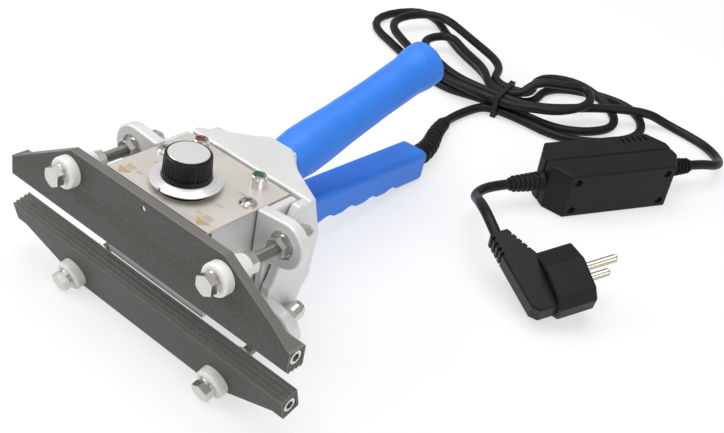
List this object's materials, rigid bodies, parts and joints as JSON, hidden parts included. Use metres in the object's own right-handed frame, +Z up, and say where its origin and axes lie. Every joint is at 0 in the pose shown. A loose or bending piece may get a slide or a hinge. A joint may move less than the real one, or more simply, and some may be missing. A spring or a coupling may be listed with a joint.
{
  "type": "impulse heat sealer",
  "caption": "Hand-held tong sealer: two hinged grips close a pair of heated bars, with thermostat dial, pilot lamps and mains lead with in-line box.",
  "frame": {"origin": "centre of the tool's footprint on the table, without the mains lead", "axes": "+X along the sealing bars, +Y from the bars to the grips' free ends, +Z up"},
  "size_m": [0.3146, 0.4366, 0.1024],
  "materials": {
    "casting": "light silver-grey paint on a casting, satin",
    "plate": "brushed",
    "zinc": "bright zinc plate",
    "steel": "plain",
    "spring": "drawn wire",
    "bar": "dark matte coating",
    "ceramic": "white ceramic, satin",
    "bare_aluminium": "turned",
    "bright": "bright plate",
    "knob_plastic": "black, semi-gloss",
    "dark_plastic": "black",
    "red_lens": "clear red",
    "green_lens": "clear green",
    "grip": "smooth dipped vinyl, blue",
    "black_rubber": "matte",
    "cord": "satin jacket",
    "black_plastic": "fine grain",
    "board": "lacquered"
  },
  "bodies": {
    "frame": {"box_front_shell": "black_plastic", "box_rear_shell": "black_plastic", "box_relief_in": "black_rubber", "box_relief_out": "black_rubber", "box_screws": "zinc", "control_board": "board", "control_box": "casting", "cord_boot": "black_rubber", "cord_feed": "cord", "cord_hank": "cord", "cord_lead": "cord", "cord_tail": "cord", "dial_base": "dark_plastic", "fixed_casting": "casting", "green_lens": "green_lens", "hank_tie": "dark_plastic", "hinge_pin": "steel", "lamp_bezels": "bright", "lower_grip": "grip", "pin_clips": "steel", "plate_screws": "zinc", "plug_body": "black_plastic", "plug_pins": "bright", "probe_screw": "steel", "red_lens": "red_lens", "return_spring": "spring", "thermostat": "steel", "top_plate": "plate", "upper_bar": "bar", "upper_bolts": "zinc", "upper_cap_nuts": "zinc", "upper_end_plugs": "steel", "upper_front_insulators": "ceramic", "upper_heater": "steel", "upper_nuts": "zinc", "upper_rear_insulators": "ceramic", "upper_washers": "zinc"},
    "jaw": {"moving_casting": "casting", "upper_grip": "grip", "lower_bar": "bar", "lower_heater": "steel", "lower_end_plugs": "steel", "lower_bolts": "zinc", "lower_front_insulators": "ceramic", "lower_rear_insulators": "ceramic", "lower_washers": "zinc", "lower_nuts": "zinc", "lower_cap_nuts": "zinc"},
    "dial": {"knob": "knob_plastic", "knob_cap": "bare_aluminium", "dial_skirt": "bare_aluminium", "dial_shaft": "steel"}
  },
  "joints": [
    {"name": "jaw_hinge", "type": "hinge", "parent": "frame", "child": "jaw", "pos_m": [0, -0.0465, 0.03542], "axis": [-1, 0, 0], "range_deg": [0, 15.8], "stiffness_Nm_per_rad": 3, "springref_deg": -28.65, "deforming": ["return_spring"]},
    {"name": "dial_turn", "type": "hinge", "parent": "frame", "child": "dial", "pos_m": [0, -0.08075, 0.08296], "axis": [0, -0.0813, -0.9967], "range_deg": [0, 300]}
  ]
}
